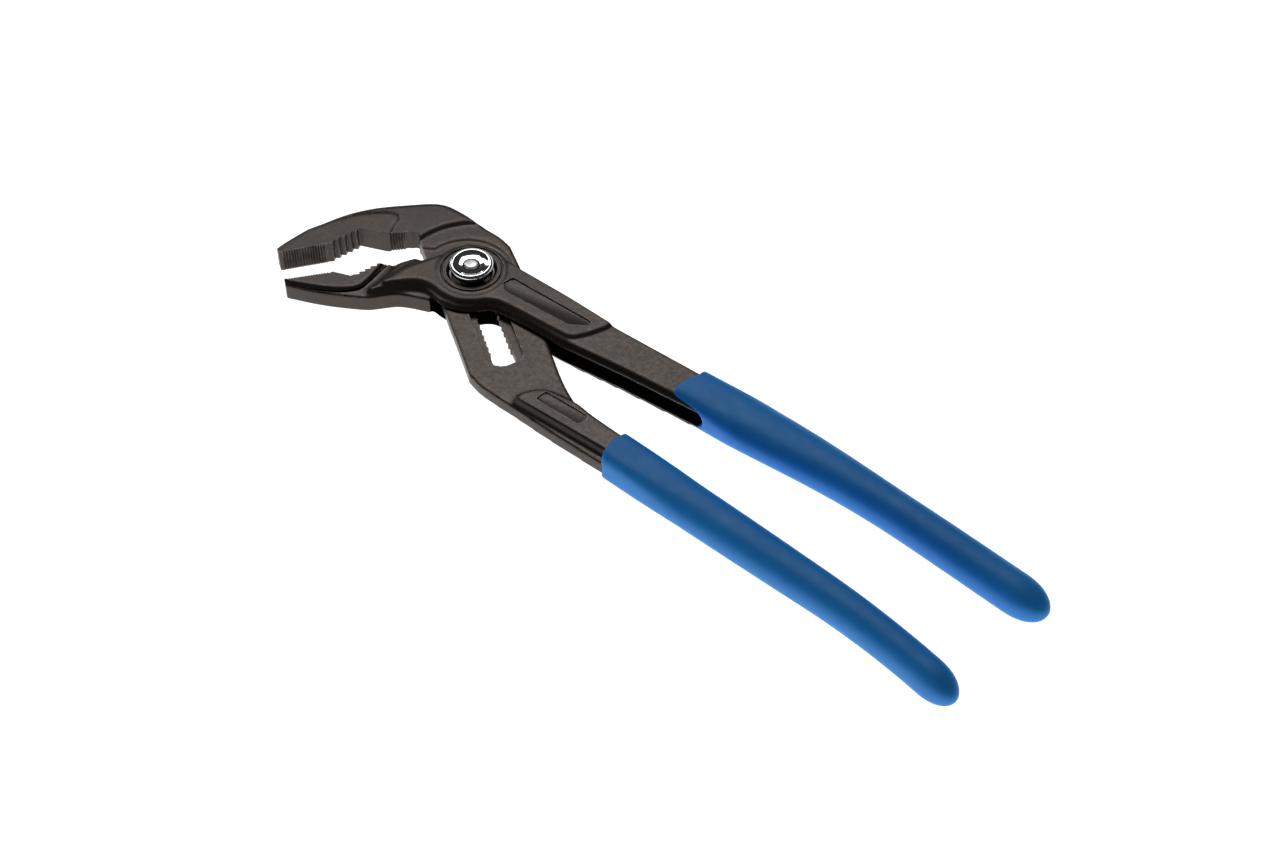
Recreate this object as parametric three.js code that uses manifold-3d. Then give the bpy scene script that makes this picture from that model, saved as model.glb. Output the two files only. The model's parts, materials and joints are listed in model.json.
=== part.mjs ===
// Push-button water-pump pliers, 10 inch size.
// Millimetres, +Z up. The tool lies flat on z = 0, and the pivot's axis is the Z axis.
// +X runs from the jaws to the handles. The box lever's handle is on the +Y side.
import * as THREE from 'three';
import { mergeVertices } from 'three/addons/utils/BufferGeometryUtils.js';
import Module from 'manifold-3d';

const wasm = await Module();
wasm.setup();

// ---- driving dimensions ----
const MID = 6.1; // height of the plane that both levers are symmetric about
const PLATE = 2.3; // half thickness of the slotted arm
const LEDGE = 2.5; // half thickness of the raised ledge round the joint
const RUN = 0.3; // running gap between the levers
const CHEEK_IN = LEDGE + RUN; // half the gap between the cheeks
const CHEEK_RIM = 5.1; // half thickness over the cheeks' rims
const CHEEK_TOP = 5.5; // half thickness over the cheeks' raised flats
const BOSS = 5.8; // half thickness over the round bosses
const UPPER_JAW = 3.6; // half thickness of the upper jaw behind its toothed pad
const SHOULDER = 4.4; // half thickness of the lower jaw's root
const PAD = 3.85; // half thickness of both toothed pads
const BAND = 2.7; // half height of the lower jaw's upright edge behind the pad
const HANDLE = 4.7; // half thickness of the box lever's channel
const RIB = 4.5; // half thickness of the slotted lever's rib
const TANG = 3.9; // half thickness of the steel inside the grips

const PITCH = 2.4; // one adjusting step of the slot
const OPEN_ANGLE = 22; // degrees that the handles open from rest
const CLOSE_ANGLE = 2.5; // degrees that they close from rest
const SLOT_ANGLE = -35.5 * Math.PI / 180; // the slot's direction from +X
const SLOT_OFF = 0.2; // the slot's centre line beside the pivot's axis
const SLOT_END = 36.6; // far end of the slot from the pivot
const SLOT_EYE = -9.3; // centre of the round eye at the slot's near end
const EYE_R = 5.0;
const RECESS_HALF = 5.3; // half width of the stepped recess round the slot
const RECESS_DEEP = 1.3;
const SLOT_HALF = 3.4; // half width of the slot at the roots of its teeth
const TOOTH = 0.6; // height of the slot's teeth
const ARM_LEFT = -10.9; // the arm's jaw-side edge, beside the pivot's axis
const ARM_RIGHT = 13.9; // the arm's other edge

const BORE = 7.2; // radius of both cheeks' bores
const CLEAR = 0.2; // radial clearance of turned pieces
const BUTTON_R = 6.5;
const BUTTON_TOP = 14.8;
const PRESS = 2.1; // how far the button goes down
const PIN_R = 1.2;
const FIT = 0.15; // gap between steel and grip

// ---- small helpers ----
const point = (x, y) => new THREE.Vector2(x, y);

// A point on the slotted arm: t along the slot from the pivot, n to its +Y side.
const along = (t, n) => point(
  t * Math.cos(SLOT_ANGLE) - n * Math.sin(SLOT_ANGLE),
  t * Math.sin(SLOT_ANGLE) + n * Math.cos(SLOT_ANGLE),
);

// An arc round a centre, from one angle to the other in degrees.
function arc(cx, cy, radius, from, to, steps) {
  const points = [];
  for (let i = 0; i <= steps; i += 1) {
    const angle = (from + (to - from) * i / steps) * Math.PI / 180;
    points.push(point(cx + radius * Math.cos(angle), cy + radius * Math.sin(angle)));
  }
  return points;
}

// A smooth curve through a few points, with some steps in each span.
function smooth(pairs, steps = 3) {
  const curve = new THREE.SplineCurve(pairs.map(([x, y]) => point(x, y)));
  return curve.getPoints((pairs.length - 1) * steps);
}

const corners = (pairs) => pairs.map(([x, y]) => point(x, y));

// A row of teeth from one point to another, standing out to the left of the row.
// lean is where each tip stands in its pitch: 0.5 for an even tooth.
function teeth(from, to, count, height, lean) {
  const step = point(to[0] - from[0], to[1] - from[1]).divideScalar(count);
  const out = point(-step.y, step.x).normalize().multiplyScalar(height);
  const points = [];
  for (let i = 0; i < count; i += 1) {
    const root = point(from[0], from[1]).addScaledVector(step, i);
    points.push(root.clone());
    points.push(root.clone().addScaledVector(step, lean).add(out));
  }
  return points;
}

function solid(geometry) {
  geometry.deleteAttribute('normal');
  geometry.deleteAttribute('uv');
  const merged = mergeVertices(geometry, 1e-4);
  return new wasm.Manifold(new wasm.Mesh({
    numProp: 3,
    vertProperties: new Float32Array(merged.attributes.position.array),
    triVerts: new Uint32Array(merged.index.array),
  }));
}

// An upright slab of an outline, between two heights.
function slab(points, low, high) {
  const shape = new THREE.Shape(points);
  const geometry = new THREE.ExtrudeGeometry(shape, { depth: high - low, bevelEnabled: false });
  geometry.translate(0, 0, low);
  return solid(geometry);
}

// A slab whose edges slope in by `draft` over the last `slope` of its height, above and below.
function drafted(points, half, draft, slope) {
  const shape = new THREE.Shape(points);
  const geometry = new THREE.ExtrudeGeometry(shape, {
    depth: 2 * (half - slope),
    bevelThickness: slope,
    bevelSize: draft,
    bevelOffset: -draft,
    bevelSegments: 1,
  });
  geometry.translate(0, 0, MID - half + slope);
  return solid(geometry);
}

const both = (points, half) => slab(points, MID - half, MID + half);
const disc = (radius, low, high, steps = 32, cx = 0, cy = 0) => (
  slab(arc(cx, cy, radius, 0, 360, steps).slice(0, -1), low, high)
);
const box = (x0, x1, y0, y1, low, high) => slab(corners([[x0, y0], [x1, y0], [x1, y1], [x0, y1]]), low, high);

// A bar along X with a section given in Y and Z.
function bar(section, x0, x1) {
  const geometry = new THREE.ExtrudeGeometry(new THREE.Shape(corners(section)), {
    depth: x1 - x0, bevelEnabled: false,
  });
  geometry.applyMatrix4(new THREE.Matrix4().makeBasis(
    new THREE.Vector3(0, 1, 0), new THREE.Vector3(0, 0, 1), new THREE.Vector3(1, 0, 0)));
  geometry.translate(x0, 0, 0);
  return solid(geometry);
}

const join = (...solids) => solids.reduce((sum, next) => sum.add(next));
const cut = (body, ...tools) => tools.reduce((left, tool) => left.subtract(tool), body);

const pieces = new THREE.Group();

function piece(name, body, colour, roughness, metalness) {
  const found = body.getMesh();
  const geometry = new THREE.BufferGeometry();
  geometry.setAttribute('position', new THREE.BufferAttribute(found.vertProperties, 3));
  geometry.setIndex(new THREE.BufferAttribute(found.triVerts, 1));
  geometry.computeVertexNormals();
  const material = new THREE.MeshStandardMaterial({ color: colour, roughness, metalness });
  const mesh = new THREE.Mesh(geometry, material);
  mesh.name = name;
  pieces.add(mesh);
  return mesh;
}

const STEEL = [0x4b443e, 0.55, 0.85];
const CHROME = [0xd9dcde, 0.12, 1.0];
const BLUE = [0x2364aa, 0.45, 0.0];

// ---- grips: a rounded section swept along a bent handle ----
// Each handle's middle line and half width, by the distance x along the tool.
const BOX_GRIP = {
  start: 74.5,
  end: 199,
  middle: (x) => 3.2 - 0.00165 * Math.max(0, x - 112) ** 2 + 0.0000085 * Math.max(0, x - 112) ** 3,
  half: (x) => 5.7 + 2.5 * THREE.MathUtils.smoothstep(152 - x, 0, 62),
  thick: 5.75,
};
const SLOT_GRIP = {
  start: 72.5,
  end: 194.5,
  middle: (x) => -28.9 - 0.073 * (x - 83) - 0.0019 * Math.max(0, x - 145) ** 2,
  half: (x) => 4.9 + 1.6 * THREE.MathUtils.smoothstep(190 - x, 0, 95),
  thick: 5.6,
};

// The grip's outer skin, or with a negative `grow` the room for the steel inside it.
function sleeve(grip, from, to, grow, round) {
  const SIDES = 20;
  const STATIONS = 26;
  const positions = [];
  const ring = (x, scale) => {
    const slope = (grip.middle(x + 1) - grip.middle(x - 1)) / 2;
    for (let i = 0; i < SIDES; i += 1) {
      const angle = 2 * Math.PI * i / SIDES;
      const power = 2 / 2.4;
      const c = Math.sign(Math.cos(angle)) * Math.abs(Math.cos(angle)) ** power;
      const s = Math.sign(Math.sin(angle)) * Math.abs(Math.sin(angle)) ** power;
      const across = (grip.half(x) + grow) * scale * c;
      const up = (grip.thick + grow) * scale * s;
      positions.push(x - slope * across, grip.middle(x) + across, MID + up);
    }
  };
  let rings = 0;
  for (let i = 0; i <= STATIONS; i += 1) {
    // stations close up where the end rounds over
    const share = Math.sin(i / STATIONS * Math.PI / 2);
    const x = round ? from + (to - from) * share : from + (to - from) * i / STATIONS;
    const left = Math.max(0, to - x) / round;
    const scale = round && left < 1 ? Math.max(0.12, Math.sqrt(1 - (1 - left) ** 2.2)) : 1;
    ring(x, scale);
    rings += 1;
  }
  const index = [];
  for (let r = 0; r + 1 < rings; r += 1) {
    for (let i = 0; i < SIDES; i += 1) {
      const a = r * SIDES + i;
      const b = r * SIDES + (i + 1) % SIDES;
      index.push(a, b, b + SIDES, a, b + SIDES, a + SIDES);
    }
  }
  for (let i = 1; i + 1 < SIDES; i += 1) {
    const last = (rings - 1) * SIDES;
    index.push(0, i + 1, i, last, last + i, last + i + 1);
  }
  const made = new wasm.Manifold(new wasm.Mesh({
    numProp: 3,
    vertProperties: new Float32Array(positions),
    triVerts: new Uint32Array(index),
  }));
  return made;
}

// ---- outlines ----
const LOWER_TIP = [-42.7, -34.7];
const LOWER_HEEL = [-41.2, -35.8]; // the jaw's end face runs from its tip to here
const UPPER_TIP = [-51.7, -27.3];
const UPPER_HEEL = [-53.6, -26.1];

// The lower jaw's gripping side, from its tip to the throat.
const lowerTeeth = [
  ...corners([LOWER_TIP]),
  ...teeth([-42.3, -34.1], [-33.9, -24.4], 16, -0.45, 0.5),
  ...corners([[-33.4, -23.9], [-27.9, -21.9]]),
  ...teeth([-27.7, -21.1], [-25.4, -13.7], 4, -0.9, 0.85),
  ...corners([[-25.2, -13.5], [-23.0, -11.4], [-22.3, -11.0], [-21.2, -10.8]]),
  ...teeth([-20.9, -10.5], [-17.7, -5.8], 6, -0.4, 0.5),
  ...corners([[-17.4, -5.4], [-16.0, -4.6]]),
];
// Its back, from the window round to the tip.
const lowerBack = smooth([[-3.6, -14.9], [-9.0, -17.0], [-12.7, -18.9], [-15.5, -21.4], [-18.8, -25.3],
  [-24.6, -28.4], [-31.6, -31.6], [-37.0, -34.0], LOWER_HEEL], 2);

// The cheeks: round the pivot, along the window, and out to the channel.
const cheekFront = [
  ...corners([[-15.0, -4.5], [-12.5, -2.6]]),
  ...arc(0, 0, 11.4, 176, 62, 12),
];
const handleTop = corners([[10, 8.9], [30, 8.4], [48, 7.3], [78, 7.3]]);
const flangeEdge = corners([[76, -3.5], [59, -4.8], [38, -6.6]]);
const windowRim = [
  ...corners([[33, -7.1], [17.4, -7.6]]),
  ...smooth([[15.4, -7.8], [13.2, -8.5], [8.4, -12.1], [5.5, -14.0], [2.4, -14.9]], 3),
];
const cheek = [...cheekFront, ...handleTop, ...flangeEdge, ...windowRim, ...lowerBack, ...lowerTeeth];

// ---- the box lever ----
function boxLever() {
  // the jaw: full height at the toothed pad, an upright band with sloping shoulders behind it
  const jawBack = [...corners([[-13.0, -3.4], [-8.0, -8.2]]), ...lowerBack];
  const jaw = both([...jawBack, ...lowerTeeth], BAND);
  const shoulder = both([...smooth([[-5.0, -13.4], [-9.8, -15.7], [-13.5, -17.6], [-16.3, -20.2],
    [-19.6, -23.9], [-25.2, -27.0], [-31.4, -30.0]], 2), ...corners([[-29.6, -26.6], [-22.2, -22.0],
    [-20.2, -12.6], [-17.4, -8.4], [-13.6, -4.4], [-8.0, -8.6]])], SHOULDER);
  const pad = both([
    ...smooth([[-22.4, -11.8], [-21.4, -17.6], [-21.8, -22.2], [-24.8, -25.8], [-31.2, -30.2],
      [-37.0, -33.6], LOWER_HEEL], 2),
    ...lowerTeeth.slice(0, 44),
  ], PAD);

  // the cheeks and channel as one block, then the window and the channel are taken out of it
  const channel = both(cheek, HANDLE);
  const rims = both(cheek, CHEEK_RIM).intersect(box(-14, 45, -18, 20, -1, 20));
  const flats = drafted([
    ...arc(0, 0, 10.6, 215, 75, 10),
    ...corners([[12, 8.2], [30, 7.7], [46, 6.6], [36.8, -3.6], [14, -4.4]]),
    ...smooth([[10.5, -6.2], [6.5, -10.6], [1.5, -12.6], [-4.4, -12.8], [-9.4, -14.9], [-13.0, -17.2],
      [-16.0, -20.2], [-18.8, -23.0]], 2),
    ...corners([[-20.0, -21.6], [-19.8, -17.5], [-18.4, -11.0], [-15.4, -6.0]]),
  ], CHEEK_TOP, 0.9, 0.9);
  const boss = drafted(arc(0, 0, 10.4, 0, 360, 32).slice(0, -1), BOSS, 0.5, 0.5);

  // the window clears the arm's edges as the handles open and close
  const opened = turnedArm(-OPEN_ANGLE - 0.5, ARM_LEFT - RUN);
  const closed = turnedArm(CLOSE_ANGLE + 0.5, ARM_LEFT - RUN);
  const closedRight = turnedArm(CLOSE_ANGLE + 0.5, ARM_RIGHT + RUN);
  const window = both([
    opened(14), opened(2.5), closed(-10), closed(-22), closedRight(-22), closedRight(9.5),
    ...corners([[22, 5.6], [90, 4.4], [90, -12], [20, -20]]),
  ], CHEEK_IN);

  const body = cut(
    join(channel, rims, flats, boss, jaw, shoulder, pad),
    window,
    disc(BORE, -1, MID, 32),
    disc(BORE, MID, 20, 32),
  );

  // the round groove in each boss, and the name panel left blank
  const groove = disc(9.5, MID + BOSS - 0.3, 20, 32).subtract(disc(8.7, 0, 21, 32));
  const grooveBelow = disc(9.5, -1, MID - BOSS + 0.3, 32).subtract(disc(8.7, -2, 20, 32));
  const panelOutline = corners([[12.3, 5.7], [40.6, 4.4], [35.8, -0.4], [12.4, 0.0], [10.3, 2.9]]);
  const panel = slab(panelOutline, MID + CHEEK_TOP - 0.5, 20);

  // the steel inside the grip
  const tang = sleeve(BOX_GRIP, 76, 188, -1.6, 0).intersect(
    box(76, 190, -20, 20, MID - TANG, MID + TANG),
  );
  const throat = box(75, 86, -12, 3.2, MID - CHEEK_IN, MID + CHEEK_IN);
  const ringSeat = disc(7.75, 0.75, 1.65, 32);

  // the flanges' edges slope back on both faces of the channel
  const slopes = [1, -1].map((side) => bar([
    [-0.2, MID + side * (CHEEK_IN + 0.9)], [2.6, MID + side * 6.2], [-4, MID + side * 6.2],
    [-4, MID + side * (CHEEK_IN + 0.9)],
  ], -23, 37).rotate([0, 0, 4.2]).translate([38, -6.3, 0]));
  return cut(join(body, tang), ...slopes, groove, grooveBelow, panel, throat, ringSeat);
}

// ---- the slotted lever ----
const upperTeeth = [
  ...corners([[-27.2, 2.4]]),
  ...teeth([-27.6, 1.8], [-31.1, -1.7], 6, 0.4, 0.5),
  ...corners([[-31.5, -2.2], [-39.4, -5.2]]),
  ...teeth([-39.6, -5.4], [-42.6, -15.6], 5, 0.9, 0.55),
  ...teeth([-42.8, -16.2], [-51.2, -26.7], 17, 0.4, 0.5),
];
const upperBack = [
  ...corners([UPPER_TIP]),
  ...smooth([UPPER_HEEL, [-53.2, -20.4], [-51.4, -13.8], [-47.4, -3.4], [-42.0, 4.7],
    [-35.0, 11.7], [-28.4, 17.4], [-22.6, 19.2], [-13.2, 18.7], [-3.2, 18.0]], 2),
];
const notch = arc(-24.3, 2.4, 1.8, 0, 150, 5);

// Points along a line beside the pivot that is parallel to the arm, when the arm has turned.
function turnedArm(degrees, n) {
  const angle = degrees * Math.PI / 180;
  return (t) => along(t, n).rotateAround(point(0, 0), angle);
}

function slottedLever() {
  const armTop = corners([[0.6, 16.9]]);
  const armTopEdge = [along(-3, ARM_RIGHT), along(39, ARM_RIGHT)];
  const crotch = smooth([[43.8, -14.3], [48.0, -17.1], [52.5, -19.6], [57, -21.5], [64, -22.8], [76, -24.0]], 2);
  const heel = smooth([[76, -34.4], [58, -33.7], [44, -32.8], [33, -32.2], [28.4, -31.7]], 2);
  const armBottom = [along(37, ARM_LEFT), along(22, ARM_LEFT)];
  const outline = [...notch, ...upperTeeth, ...upperBack, ...armTop, ...armTopEdge, ...crotch,
    ...heel, ...armBottom];

  const plate = both(outline, PLATE);
  const whole = (half) => both(outline, half);

  // three levels round the joint: the jaw, a ledge and the plate, parted by arcs
  const jaw = whole(UPPER_JAW).subtract(disc(21.7, -1, 20, 48)).intersect(
    box(-60, -9.5, -40, 25, -1, 20),
  );
  const ledge = whole(LEDGE).subtract(disc(13.8, -1, 20, 40, -2.9, 0.5)).intersect(
    box(-60, 3.5, -4, 25, -1, 20),
  );
  const pad = whole(PAD).intersect(slab([
    ...smooth([[-31.0, -0.4], [-31.8, 3.0], [-33.5, 6.2], [-36.2, 6.4], [-40.0, 3.5], [-44.3, -3.0],
      [-47.6, -10.4], [-51.0, -20.0], UPPER_HEEL], 2),
    ...corners([[-52.0, -34.0], [-26.5, -8.0], [-26.5, -1.0]]),
  ], -1, 20));

  // the rib that stiffens the handle
  const rib = drafted([
    ...corners([[76, -30.9], [41.6, -30.3], [41.5, -28.0]]),
    ...smooth([[43.6, -25.4], [46.4, -22.9], [52, -22.3], [57, -21.9], [64, -22.9], [76, -24.0]], 2),
  ], RIB, 0.5, 0.8);
  const tang = sleeve(SLOT_GRIP, 73.5, 184, -1.5, 0).intersect(
    box(73.5, 190, -60, 0, MID - TANG, MID + TANG),
  );

  // the slot: a stepped recess on both faces, teeth on both sides of a web between them
  const recessOutline = [
    along(SLOT_END - 1.6, SLOT_OFF + RECESS_HALF),
    ...arcAlong(SLOT_EYE, SLOT_OFF, RECESS_HALF, 90, 270, 10),
    along(SLOT_END - 3.0, SLOT_OFF - RECESS_HALF),
    along(SLOT_END, SLOT_OFF - 2.4),
    along(SLOT_END, SLOT_OFF + 3.6),
  ];
  const recess = join(
    slab(recessOutline, MID + PLATE - RECESS_DEEP, 20),
    slab(recessOutline, -1, MID - PLATE + RECESS_DEEP),
  );
  const eye = slab(arcAlong(SLOT_EYE, SLOT_OFF, EYE_R, 0, 360, 24).slice(0, -1), -1, 20);
  const through = slab(slotOutline(), -1, 20);
  const panel = slab(corners([[47.5, -24.0], [62, -24.2], [61.6, -28.2], [46.2, -28.0]]),
    MID + RIB - 0.4, 20);
  return cut(join(plate, jaw, ledge, pad, rib, tang), recess, eye, through, panel);
}

// An arc in the arm's own directions.
function arcAlong(t, n, radius, from, to, steps) {
  return arc(t, n, radius, from, to, steps).map((p) => along(p.x, p.y));
}

// The toothed slot: each tooth is a bump between two round notches.
function slotOutline() {
  const side = (sign) => {
    const points = [];
    const first = -1.5 * PITCH;
    const count = Math.floor((SLOT_END - 1.2 - first) / PITCH);
    for (let i = 0; i < count; i += 1) {
      const t = first + i * PITCH;
      points.push(along(t - 0.30 * PITCH, SLOT_OFF + sign * SLOT_HALF));
      points.push(along(t - 0.14 * PITCH, SLOT_OFF + sign * (SLOT_HALF - TOOTH)));
      points.push(along(t + 0.14 * PITCH, SLOT_OFF + sign * (SLOT_HALF - TOOTH)));
      points.push(along(t + 0.30 * PITCH, SLOT_OFF + sign * SLOT_HALF));
    }
    return points;
  };
  const end = [
    along(SLOT_END - 0.9, SLOT_OFF - SLOT_HALF),
    along(SLOT_END, SLOT_OFF - 1.6),
    along(SLOT_END + 0.3, SLOT_OFF),
    along(SLOT_END, SLOT_OFF + 1.6),
    along(SLOT_END - 0.9, SLOT_OFF + SLOT_HALF),
  ];
  return [...side(-1), ...end, ...side(1).reverse(), along(SLOT_EYE, SLOT_HALF), along(SLOT_EYE, -SLOT_HALF)];
}

// ---- the joint ----
const FOOT_R = BORE - CLEAR;
const LEG_IN = 4.5; // the bolt's legs stand between these distances from its axis
const LEG_OUT = 6.4;
const KEY_HALF = SLOT_HALF - TOOTH - 0.4; // half width of the key between its teeth
const KEY_LENGTH = LEG_IN - 0.2;
const KEY_LOW = MID - PLATE + RECESS_DEEP + 0.1;
const KEY_TOOTHED = MID + PLATE - RECESS_DEEP - 0.1;
const NECK_LOW = MID + CHEEK_IN + PRESS + 0.3;

function pivotBolt() {
  const slotted = (t0, t1, half, low, high) => slab(
    [along(t0, -half), along(t1, -half), along(t1, half), along(t0, half)], low, high);
  const foot = disc(FOOT_R, 0, MID - CHEEK_IN, 32);
  const ring = disc(FOOT_R, MID + CHEEK_IN, MID + BOSS - 1.2, 32).subtract(disc(5.9, -1, 20, 32));
  const legs = join(
    slotted(LEG_IN, LEG_OUT, 2.2, 1, MID + CHEEK_IN + 0.2),
    slotted(-LEG_OUT, -LEG_IN, 2.2, 1, MID + CHEEK_IN + 0.2),
  );
  const pocket = disc(4.4, 0.9, MID + PLATE, 24);
  const ringGroove = disc(9, 0.75, 1.65, 32).subtract(disc(6.2, -1, 20, 32));
  const pinHole = disc(PIN_R + 0.05, 0.4, 20, 16);
  const nest = slotted(-LEG_IN, LEG_IN, SLOT_HALF, KEY_LOW - PRESS - 0.2, MID + PLATE);
  return cut(join(foot, ring, legs), pocket, nest, ringGroove, pinHole);
}

function centrePin() {
  const profile = corners([[0, 0.5], [PIN_R, 0.5], [PIN_R, 13.0], [2.15, 13.2], [2.15, 14.2], [1.9, 14.5],
    [0, 14.5]]);
  return solid(turned(profile, 20));
}

function turned(profile, steps) {
  const geometry = new THREE.LatheGeometry(profile, steps);
  geometry.rotateX(Math.PI / 2);
  return geometry;
}

function pushButton() {
  // from the bore up: neck, rolled rim, and a dish that falls to the pin
  const profile = corners([
    [2.5, NECK_LOW], [5.6, NECK_LOW], [5.6, 12.6], [6.2, 13.2], [BUTTON_R, 13.8], [6.35, 14.4],
    [5.8, BUTTON_TOP], [5.3, 14.6], [4.2, 13.9], [2.9, 13.5], [2.5, 13.45], [2.5, NECK_LOW],
  ]);
  return solid(turned(profile, 40));
}

function lockingKey() {
  const outline = [];
  const side = (sign) => {
    const points = [along(-KEY_LENGTH, sign * KEY_HALF)];
    for (const t of [-PITCH, 0, PITCH]) {
      points.push(along(t - 0.30 * PITCH, sign * KEY_HALF));
      points.push(along(t - 0.18 * PITCH, sign * (KEY_HALF + TOOTH)));
      points.push(along(t + 0.18 * PITCH, sign * (KEY_HALF + TOOTH)));
      points.push(along(t + 0.30 * PITCH, sign * KEY_HALF));
    }
    points.push(along(KEY_LENGTH, sign * KEY_HALF));
    return points;
  };
  outline.push(...side(-1), ...side(1).reverse());
  const rows = slab(outline, KEY_LOW, KEY_TOOTHED);
  const stem = slab([along(-3.9, -KEY_HALF), along(3.9, -KEY_HALF), along(3.9, KEY_HALF),
    along(-3.9, KEY_HALF)], KEY_LOW, NECK_LOW - 0.05);
  return cut(join(rows, stem), disc(PIN_R + 0.15, -1, 20, 16));
}

function buttonSpring() {
  const WIRE = 0.4;
  const COIL = 2.6;
  const TURNS = 3.5;
  const low = 0.95 + WIRE / 2;
  const high = KEY_LOW - 0.05 - WIRE / 2;
  class Helix extends THREE.Curve {
    getPoint(share, target = new THREE.Vector3()) {
      const angle = 2 * Math.PI * TURNS * share;
      return target.set(COIL * Math.cos(angle), COIL * Math.sin(angle), low + (high - low) * share);
    }
  }
  const section = new THREE.Shape(arc(0, 0, WIRE / 2, 0, 360, 6).slice(0, -1));
  return solid(new THREE.ExtrudeGeometry(section, {
    steps: 56, extrudePath: new Helix(), bevelEnabled: false,
  }));
}

function retainingRing() {
  const profile = corners([[6.3, 0.85], [7.65, 0.85], [7.65, 1.55], [6.3, 1.55], [6.3, 0.85]]);
  const full = solid(turned(profile, 40));
  return full.subtract(box(4, 9, -0.8, 0.8, -1, 5));
}

// ---- the assembly ----
const boxSteel = boxLever();
const slotSteel = slottedLever();
piece('box_lever', boxSteel, ...STEEL);
piece('slotted_lever', slotSteel, ...STEEL);

const boxRoom = sleeve(BOX_GRIP, 70, 188.3, -1.6 + FIT, 0);
piece('box_lever_grip', cut(
  sleeve(BOX_GRIP, BOX_GRIP.start, BOX_GRIP.end, 0, 11),
  boxRoom,
  box(70, 78.2, -4, 7.5, MID - HANDLE - FIT, MID + HANDLE + FIT),
), ...BLUE);
piece('slotted_lever_grip', cut(
  sleeve(SLOT_GRIP, SLOT_GRIP.start, SLOT_GRIP.end, 0, 10),
  sleeve(SLOT_GRIP, 70, 184.3, -1.5 + FIT, 0),
  both(corners([[70, -34.4], [76.2, -34.7], [76.2, -23.8], [70, -23.2]]), RIB + FIT),
), ...BLUE);

piece('pivot_bolt', pivotBolt(), 0x6d6f72, 0.4, 0.9);
piece('retaining_ring', retainingRing(), 0x55585c, 0.4, 0.9);
piece('centre_pin', centrePin(), 0xa8a9a8, 0.4, 0.9);
piece('push_button', pushButton(), ...CHROME);
piece('locking_key', lockingKey(), 0x6d6f72, 0.4, 0.9);
piece('button_spring', buttonSpring(), 0x8a8d90, 0.3, 0.9);

export default pieces;
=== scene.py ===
# %% [markdown]
# # Push-button water-pump pliers
# Two forged levers cross at a pivot. The box lever carries the lower jaw and is split into two
# cheeks, and the slotted lever, with the upper jaw, passes between them. A bright button in the
# middle frees a toothed key, and the slotted lever then slides to another notch. Both handles are
# dipped in blue vinyl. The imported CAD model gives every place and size, and this lesson adds what
# CAD leaves plain: the soft fillets of a forging, crisp machined cuts, dipped grips and finishes.

# %% Load the fixed frame
import json
import math
import bpy
import bmesh
from mathutils import Matrix, Vector

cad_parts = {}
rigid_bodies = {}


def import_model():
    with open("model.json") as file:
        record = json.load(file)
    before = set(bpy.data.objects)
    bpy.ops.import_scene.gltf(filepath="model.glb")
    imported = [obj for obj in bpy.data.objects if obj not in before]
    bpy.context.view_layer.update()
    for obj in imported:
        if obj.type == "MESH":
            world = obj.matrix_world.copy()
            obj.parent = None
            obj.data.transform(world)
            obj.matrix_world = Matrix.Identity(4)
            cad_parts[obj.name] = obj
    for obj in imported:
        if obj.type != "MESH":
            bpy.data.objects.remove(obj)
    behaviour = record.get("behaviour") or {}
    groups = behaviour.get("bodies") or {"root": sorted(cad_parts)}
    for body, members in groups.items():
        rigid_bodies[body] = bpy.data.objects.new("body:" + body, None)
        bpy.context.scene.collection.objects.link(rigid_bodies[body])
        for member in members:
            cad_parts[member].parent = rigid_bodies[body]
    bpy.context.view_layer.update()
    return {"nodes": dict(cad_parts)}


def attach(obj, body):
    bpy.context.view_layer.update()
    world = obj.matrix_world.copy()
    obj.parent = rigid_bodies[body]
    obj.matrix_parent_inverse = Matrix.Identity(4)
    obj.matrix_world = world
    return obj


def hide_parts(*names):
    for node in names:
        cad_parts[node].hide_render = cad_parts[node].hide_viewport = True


for leftover in list(bpy.data.objects):
    bpy.data.objects.remove(leftover)
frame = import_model()

# %% [markdown]
# ## Sizes that several pieces share
# Lengths are written in millimetres, as on a drawing, and MM turns them into Blender's metres.
# Both levers are symmetric about a flat plane halfway up, at the height MID. The slot runs down
# the slotted lever at an angle, so a small function turns "along the slot, beside the slot" into
# a place on the drawing.

# %% Shared sizes
MM = 0.001
MID = 6.1
SLOT_ANGLE = math.radians(-35.5)
NOTCH_PITCH = 2.4
NOTCHES = 15
BORE = 7.2
CHEEK_GAP = 2.8
FORGING = dict(voxel=0.42, passes=7)


def along(t, n):
    c, s = math.cos(SLOT_ANGLE), math.sin(SLOT_ANGLE)
    return (t * c - n * s, t * s + n * c)


print("the slot's direction:", along(1, 0))

# %% [markdown]
# ## Drawing outlines
# Each forging starts as outlines seen from above. Straight runs need only their corners. A bent
# run goes through a few points, and a Catmull-Rom curve rounds it between them. Rows of teeth
# are stepped off with a loop, as a milling cutter would.

# %% Outline helpers
def curved(points, steps=4):
    ends = [points[0], *points, points[-1]]
    out = []
    for a, b, c, d in zip(ends, ends[1:], ends[2:], ends[3:]):
        for i in range(steps):
            t = i / steps
            out.append(tuple(
                0.5 * (2 * q + (r - p) * t + (2 * p - 5 * q + 4 * r - s) * t * t
                       + (3 * q - p - 3 * r + s) * t ** 3)
                for p, q, r, s in zip(a, b, c, d)))
    return out + [points[-1]]


def arc(cx, cy, radius, start, end, steps=24):
    turn = [math.radians(start + (end - start) * i / steps) for i in range(steps + 1)]
    return [(cx + radius * math.cos(a), cy + radius * math.sin(a)) for a in turn]


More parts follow.
